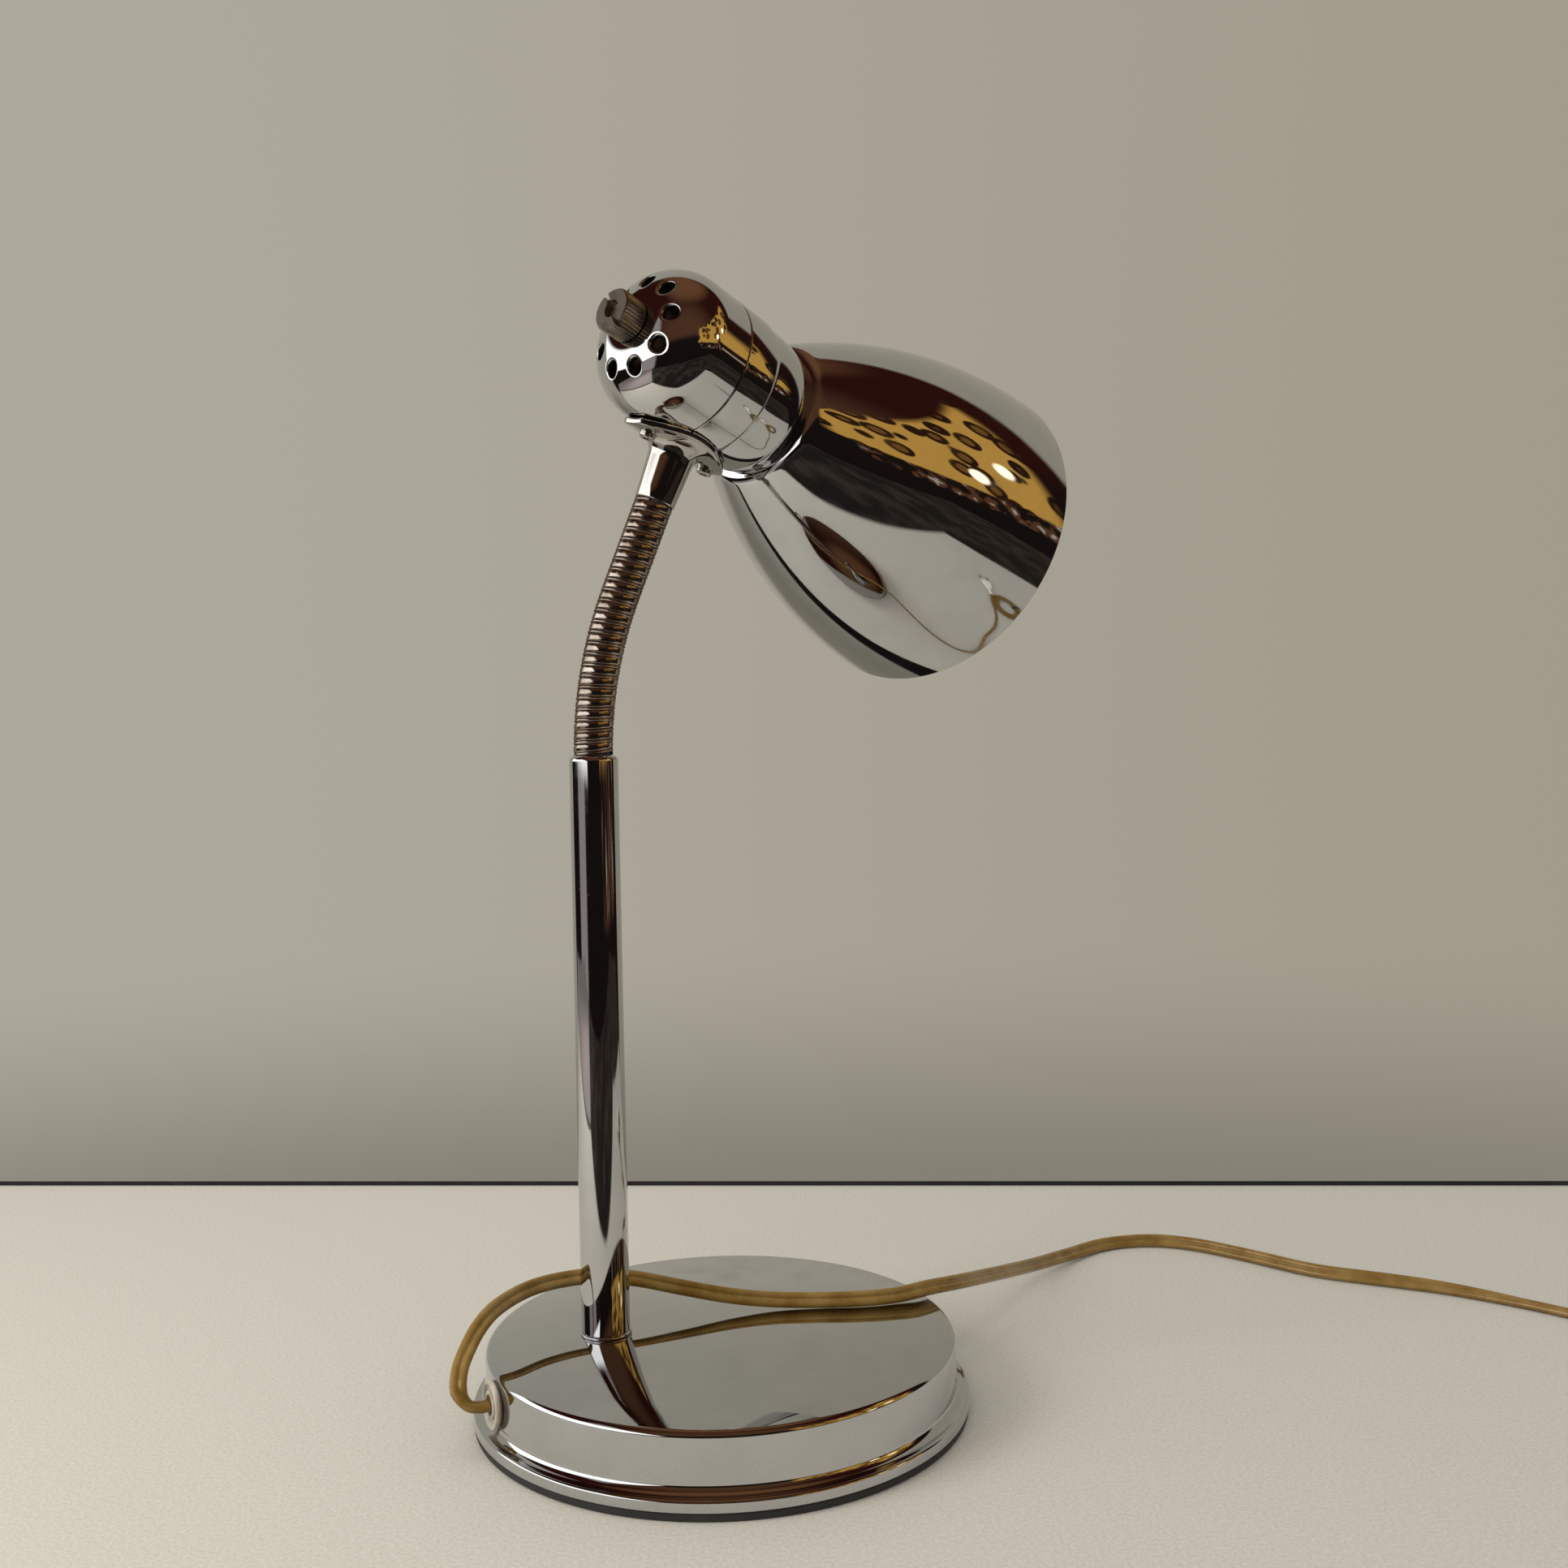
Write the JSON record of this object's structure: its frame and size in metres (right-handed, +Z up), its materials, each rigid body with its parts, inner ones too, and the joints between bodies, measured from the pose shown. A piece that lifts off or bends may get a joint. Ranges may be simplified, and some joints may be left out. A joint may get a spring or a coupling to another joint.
{
  "type": "gooseneck desk lamp",
  "caption": "Chromed gooseneck desk lamp: round weighted base, short straight stem, flexible neck, vented rear cap with rotary switch, bell shade and flat twin cord.",
  "frame": {"origin": "centre of the underside of the rubber pad that the lamp stands on", "axes": "+Z up, out of the table; the stem stands on the -X side of the base, and the shade faces +X and +Y"},
  "size_m": [0.4947, 0.2337, 0.3706],
  "materials": {
    "chrome_base": "polished",
    "chrome_head": "polished",
    "nickel_neck": "satin polished",
    "nickel_knob": "satin",
    "cast_weight": "rough",
    "zinc_steel": "zinc plated",
    "black_rubber": "matt",
    "brass": "plain",
    "pin_nickel": "nickel plated",
    "bulb_shell_metal": "satin",
    "switch_phenolic": "moulded",
    "holder_plastic": "moulded",
    "bulb_black_glass": "glossy",
    "frosted_glass": "frosted",
    "clear_white_plastic": "translucent",
    "amber_lead": "transparent amber over copper",
    "black_tie": "matt"
  },
  "bodies": {
    "base": {"base_cover": "chrome_base", "base_weight": "cast_weight", "bottom_plate": "zinc_steel", "bottom_plate_screws": "zinc_steel", "foot_pad": "black_rubber", "cord_grommet": "clear_white_plastic", "cord_clip": "zinc_steel", "cord_clip_screws": "zinc_steel", "stem_nipple": "brass", "stem_nut": "zinc_steel", "stem_washer": "zinc_steel", "foot_ring": "chrome_base", "stem_foot_bush": "brass", "stem_tube": "chrome_base", "stem_ferrule": "nickel_neck", "stem_lead": "amber_lead", "supply_cord": "amber_lead", "cord_coil": "amber_lead", "coil_tie": "black_tie", "cord_tail": "amber_lead", "plug_body": "clear_white_plastic", "plug_pins": "pin_nickel"},
    "link_01": {"neck_link_01": "nickel_neck"},
    "link_02": {"neck_link_02": "nickel_neck"},
    "link_03": {"neck_link_03": "nickel_neck"},
    "link_04": {"neck_link_04": "nickel_neck"},
    "link_05": {"neck_link_05": "nickel_neck"},
    "link_06": {"neck_link_06": "nickel_neck"},
    "link_07": {"neck_link_07": "nickel_neck"},
    "link_08": {"neck_link_08": "nickel_neck"},
    "link_09": {"neck_link_09": "nickel_neck"},
    "link_10": {"neck_link_10": "nickel_neck"},
    "link_11": {"neck_link_11": "nickel_neck"},
    "knob": {"switch_knob": "nickel_knob", "switch_shaft": "nickel_knob"},
    "head": {"neck_connector": "nickel_neck", "saddle_screws": "zinc_steel", "lamp_cap": "chrome_head", "holder_carrier": "zinc_steel", "switch_body": "switch_phenolic", "switch_terminals": "brass", "switch_nut": "nickel_knob", "holder_body": "holder_plastic", "holder_ring": "holder_plastic", "thread_shell": "brass", "centre_contact": "brass", "holder_terminals": "brass", "head_lead": "amber_lead", "lamp_shade": "chrome_head", "bulb_cap": "bulb_shell_metal", "bulb_insulator": "bulb_black_glass", "bulb_contact": "pin_nickel", "bulb_glass": "frosted_glass"}
  },
  "joints": [
    {"name": "neck_bend_1", "type": "hinge", "parent": "base", "child": "link_01", "pos_m": [-0.0382, 0, 0.21764], "axis": [-0.247, 0.969, 0], "range_deg": [-10, 7.8]},
    {"name": "neck_sway_1", "type": "hinge", "parent": "link_01", "child": "link_02", "pos_m": [-0.03785, 0.00009, 0.22491], "axis": [0.9663, 0.2463, -0.0748], "range_deg": [-9.5, 9.5]},
    {"name": "neck_bend_2", "type": "hinge", "parent": "link_02", "child": "link_03", "pos_m": [-0.03714, 0.00027, 0.23216], "axis": [-0.247, 0.969, 0], "range_deg": [-10, 7.8]},
    {"name": "neck_sway_2", "type": "hinge", "parent": "link_03", "child": "link_04", "pos_m": [-0.03609, 0.00054, 0.23935], "axis": [0.9543, 0.2432, -0.1739], "range_deg": [-9.5, 9.5]},
    {"name": "neck_bend_3", "type": "hinge", "parent": "link_04", "child": "link_05", "pos_m": [-0.03469, 0.00089, 0.24649], "axis": [-0.247, 0.969, 0], "range_deg": [-10, 7.8]},
    {"name": "neck_sway_3", "type": "hinge", "parent": "link_05", "child": "link_06", "pos_m": [-0.03295, 0.00134, 0.25354], "axis": [0.9327, 0.2377, -0.2712], "range_deg": [-9.5, 9.5]},
    {"name": "neck_bend_4", "type": "hinge", "parent": "link_06", "child": "link_07", "pos_m": [-0.03087, 0.00187, 0.2605], "axis": [-0.247, 0.969, 0], "range_deg": [-10, 7.8]},
    {"name": "neck_sway_4", "type": "hinge", "parent": "link_07", "child": "link_08", "pos_m": [-0.02845, 0.00248, 0.26734], "axis": [0.9064, 0.231, -0.3537], "range_deg": [-9.5, 9.5]},
    {"name": "neck_bend_5", "type": "hinge", "parent": "link_08", "child": "link_09", "pos_m": [-0.02588, 0.00314, 0.27412], "axis": [-0.247, 0.969, 0], "range_deg": [-10, 7.8]},
    {"name": "neck_sway_5", "type": "hinge", "parent": "link_09", "child": "link_10", "pos_m": [-0.0233, 0.0038, 0.28089], "axis": [0.9022, 0.23, -0.3649], "range_deg": [-9.5, 9.5]},
    {"name": "neck_bend_6", "type": "hinge", "parent": "link_10", "child": "link_11", "pos_m": [-0.02073, 0.00445, 0.28767], "axis": [-0.247, 0.969, 0], "range_deg": [-10, 7.8]},
    {"name": "neck_sway_6", "type": "hinge", "parent": "link_11", "child": "head", "pos_m": [-0.01816, 0.00511, 0.29445], "axis": [0.9022, 0.23, -0.3649], "range_deg": [-9.5, 9.5]},
    {"name": "switch_turn", "type": "hinge", "parent": "head", "child": "knob", "pos_m": [-0.00068, 0.00957, 0.34048], "axis": [0.6185, 0.7242, -0.305], "continuous": true}
  ],
  "couplings": [
    {"joint": "neck_bend_2", "follows": "neck_bend_1", "ratio": 1},
    {"joint": "neck_sway_2", "follows": "neck_sway_1", "ratio": 1},
    {"joint": "neck_bend_3", "follows": "neck_bend_1", "ratio": 1},
    {"joint": "neck_sway_3", "follows": "neck_sway_1", "ratio": 1},
    {"joint": "neck_bend_4", "follows": "neck_bend_1", "ratio": 1},
    {"joint": "neck_sway_4", "follows": "neck_sway_1", "ratio": 1},
    {"joint": "neck_bend_5", "follows": "neck_bend_1", "ratio": 1},
    {"joint": "neck_sway_5", "follows": "neck_sway_1", "ratio": 1},
    {"joint": "neck_bend_6", "follows": "neck_bend_1", "ratio": 1},
    {"joint": "neck_sway_6", "follows": "neck_sway_1", "ratio": 1}
  ]
}
